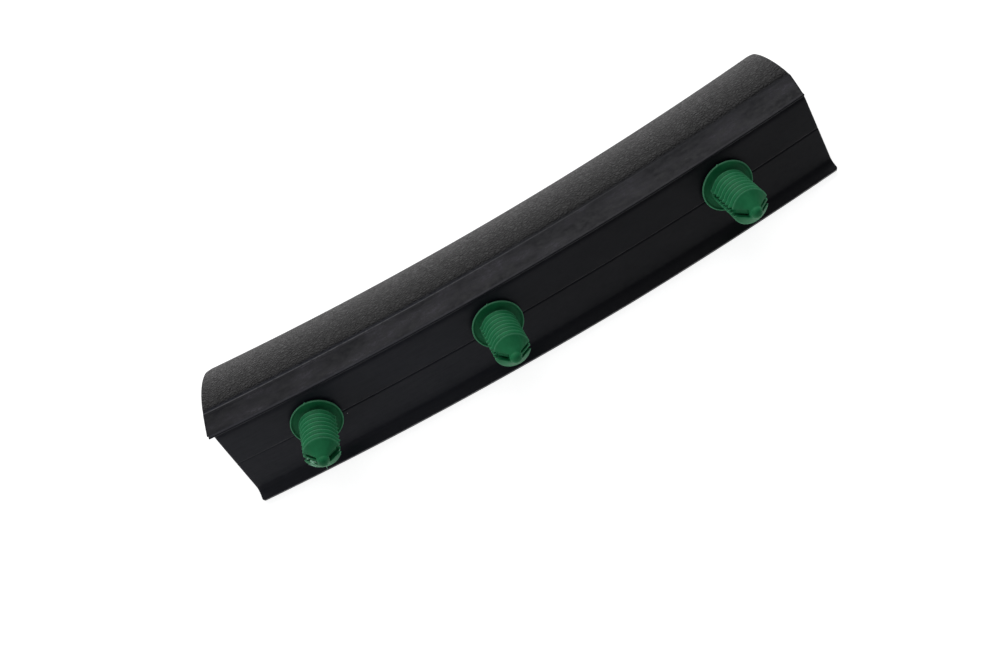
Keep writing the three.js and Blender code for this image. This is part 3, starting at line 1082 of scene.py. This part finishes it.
def nylon_colour(nodes, cloud, flow):
    """Green, with painted shade in the barb valleys and the dish, painted highlights on the crests and the
    rim, and palest where it is torn.
    """
    pale = nodes.add("ShaderNodeAttribute", {"attribute_name": "pale"}).outputs["Fac"]
    shade = nodes.add("ShaderNodeAttribute", {"attribute_name": "shade"}).outputs["Fac"]
    colour = nodes.mix(nodes.between(cloud, 0.3, 0.7), NYLON_DEEP, NYLON_LIGHT)
    colour = nodes.mix(nodes.between(flow, 0.45, 0.8, 0.0, 0.35), colour, NYLON_FLOW)
    # the painted shade in the barb valleys and the dish
    colour = nodes.mix(nodes.between(shade, 0.0, 1.0, 0.0, 0.75), colour, NYLON_PAINTED_SHADE)
    # the painted highlight on the crests and the rim
    colour = nodes.mix(nodes.between(pale, 0.0, 1.0, 0.0, 0.6), colour, NYLON_PAINTED_HIGHLIGHT)
    return nodes.mix(nodes.between(pale, 1.0, FRAYED_PALE), colour, NYLON_TORN)


def clip_nylon():
    """Waxy green nylon with faint flow marks, and painted highlights and painted shade from its tone marks.
    """
    nodes = Nodes("clip_nylon")
    solid = nodes.add("ShaderNodeTexCoord").outputs["Object"]
    cloud = nodes.noise(solid, 240.0, 4)
    flow = nodes.noise(nodes.stretch(solid, (1.0, 0.25, 0.25)), 1500.0, 3)
    nodes.feed(nodes.shader, "Base Color", nylon_colour(nodes, cloud, flow))
    nodes.feed(nodes.shader, "Roughness", nodes.between(cloud, 0.3, 0.7, 0.55, 0.68))
    nodes.feed(nodes.shader, "Normal", nodes.bump(flow, 0.25, 0.00008, nodes.bump(cloud, 0.3, 0.0002)))
    nodes.shader.inputs["Subsurface Weight"].default_value = 0.10
    nodes.shader.inputs["Subsurface Radius"].default_value = (0.4, 1.0, 0.6)
    nodes.shader.inputs["Subsurface Scale"].default_value = 0.0008
    nodes.shader.inputs["Specular IOR Level"].default_value = 0.15
    return nodes.material


def floor_white():
    """Matt white, lit from within as well, so that it stays pale under soft light."""
    nodes = Nodes("floor_white")
    solid = nodes.add("ShaderNodeTexCoord").outputs["Object"]
    tone = nodes.between(nodes.noise(solid, 9.0, 2), 0.3, 0.7, 0.0, 1.0)
    nodes.feed(nodes.shader, "Base Color", nodes.mix(tone, (0.50, 0.50, 0.50, 1), (0.52, 0.52, 0.52, 1)))
    nodes.shader.inputs["Roughness"].default_value = 0.9
    nodes.shader.inputs["Specular IOR Level"].default_value = 0.1
    nodes.shader.inputs["Emission Color"].default_value = (1, 1, 1, 1)
    nodes.shader.inputs["Emission Strength"].default_value = 0.82
    return nodes.material


# ---- stage: metres, and the camera's aim and distance in millimetres ----

FLOOR_HALF = 3.0
WINDOW_PLACE = (0.1, 1.2, 0.95)
FILL_PLACE = (-1.1, -0.5, 0.5)
WORLD_DIM = 0.10
WORLD_BRIGHT = 0.55
CAMERA_AZIMUTH = math.radians(10.67)
CAMERA_ELEVATION = math.radians(73.23)
CAMERA_ROLL = math.radians(-39.77)
CAMERA_DISTANCE = 403.3
CAMERA_AIM = Vector((-0.8, -3.1, -0.9))  # from the middle clip's seat
CAMERA_LENS = 44.57


def floor():
    corners = [(FLOOR_HALF * x, FLOOR_HALF * y, 0) for x, y in ((-1, -1), (1, -1), (1, 1), (-1, 1))]
    ground = new_object("floor", corners, [(0, 1, 2, 3)])
    ground.data.materials.append(floor_white())


def area_light(name, place_at, size, power):
    """A soft rectangular light, aimed at the strip."""
    light = bpy.data.lights.new(name, "AREA")
    light.shape = "RECTANGLE"
    light.size, light.size_y = size
    light.energy = power
    lamp = bpy.data.objects.new(name, light)
    lamp.location = place_at
    lamp.rotation_euler = (-Vector(place_at)).to_track_quat("-Z", "Y").to_euler()
    bpy.context.scene.collection.objects.link(lamp)


def world():
    """Dim in front and overhead, brighter behind, as in a room with its window behind the table."""
    scene = bpy.context.scene
    scene.world = bpy.data.worlds.new("studio")
    scene.world.use_nodes = True
    tree = scene.world.node_tree
    background = tree.nodes["Background"]
    coordinates = tree.nodes.new("ShaderNodeTexCoord")
    split = tree.nodes.new("ShaderNodeSeparateXYZ")
    tree.links.new(coordinates.outputs["Generated"], split.inputs[0])
    ramp = tree.nodes.new("ShaderNodeMapRange")
    ramp.inputs["From Min"].default_value = -0.6
    ramp.inputs["From Max"].default_value = 0.9
    ramp.inputs["To Min"].default_value = WORLD_DIM
    ramp.inputs["To Max"].default_value = WORLD_BRIGHT
    tree.links.new(split.outputs["Y"], ramp.inputs["Value"])
    tree.links.new(ramp.outputs["Result"], background.inputs["Strength"])
    background.inputs["Color"].default_value = (0.97, 0.98, 1.0, 1)


def lights():
    area_light("back_window", WINDOW_PLACE, size=(1.3, 0.6), power=15)
    area_light("left_fill", FILL_PLACE, size=(0.8, 0.6), power=4)


def camera():
    """Looks down on the middle clip, with the strip running up across the frame."""
    back = Vector((
        math.cos(CAMERA_ELEVATION) * math.sin(CAMERA_AZIMUTH),
        -math.cos(CAMERA_ELEVATION) * math.cos(CAMERA_AZIMUTH),
        math.sin(CAMERA_ELEVATION),
    ))
    level = Vector((math.cos(CAMERA_AZIMUTH), math.sin(CAMERA_AZIMUTH), 0))
    up = back.cross(level)
    right = level * math.cos(CAMERA_ROLL) + up * math.sin(CAMERA_ROLL)
    matrix = Matrix((right, back.cross(right), back)).transposed().to_4x4()
    matrix.translation = (MIDDLE + CAMERA_AIM + back * CAMERA_DISTANCE) * MM
    lens = bpy.data.cameras.new("camera")
    lens.lens = CAMERA_LENS
    lens.sensor_width = 36
    lens.clip_start = 0.01
    eye = bpy.data.objects.new("camera", lens)
    eye.matrix_world = matrix
    bpy.context.scene.collection.objects.link(eye)
    bpy.context.scene.camera = eye


# ---- the scene ----

def strip():
    piece = strip_piece()
    piece.data.materials.append(strip_plastic())
    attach(piece, "strip")
    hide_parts("trim_strip")


def clips():
    nylon = clip_nylon()
    for node, clip in CLIPS.items():
        clip_piece(node, **clip).data.materials.append(nylon)


camera()
floor()
world()
lights()
strip()
clips()
bpy.context.scene.view_settings.view_transform = "Standard"
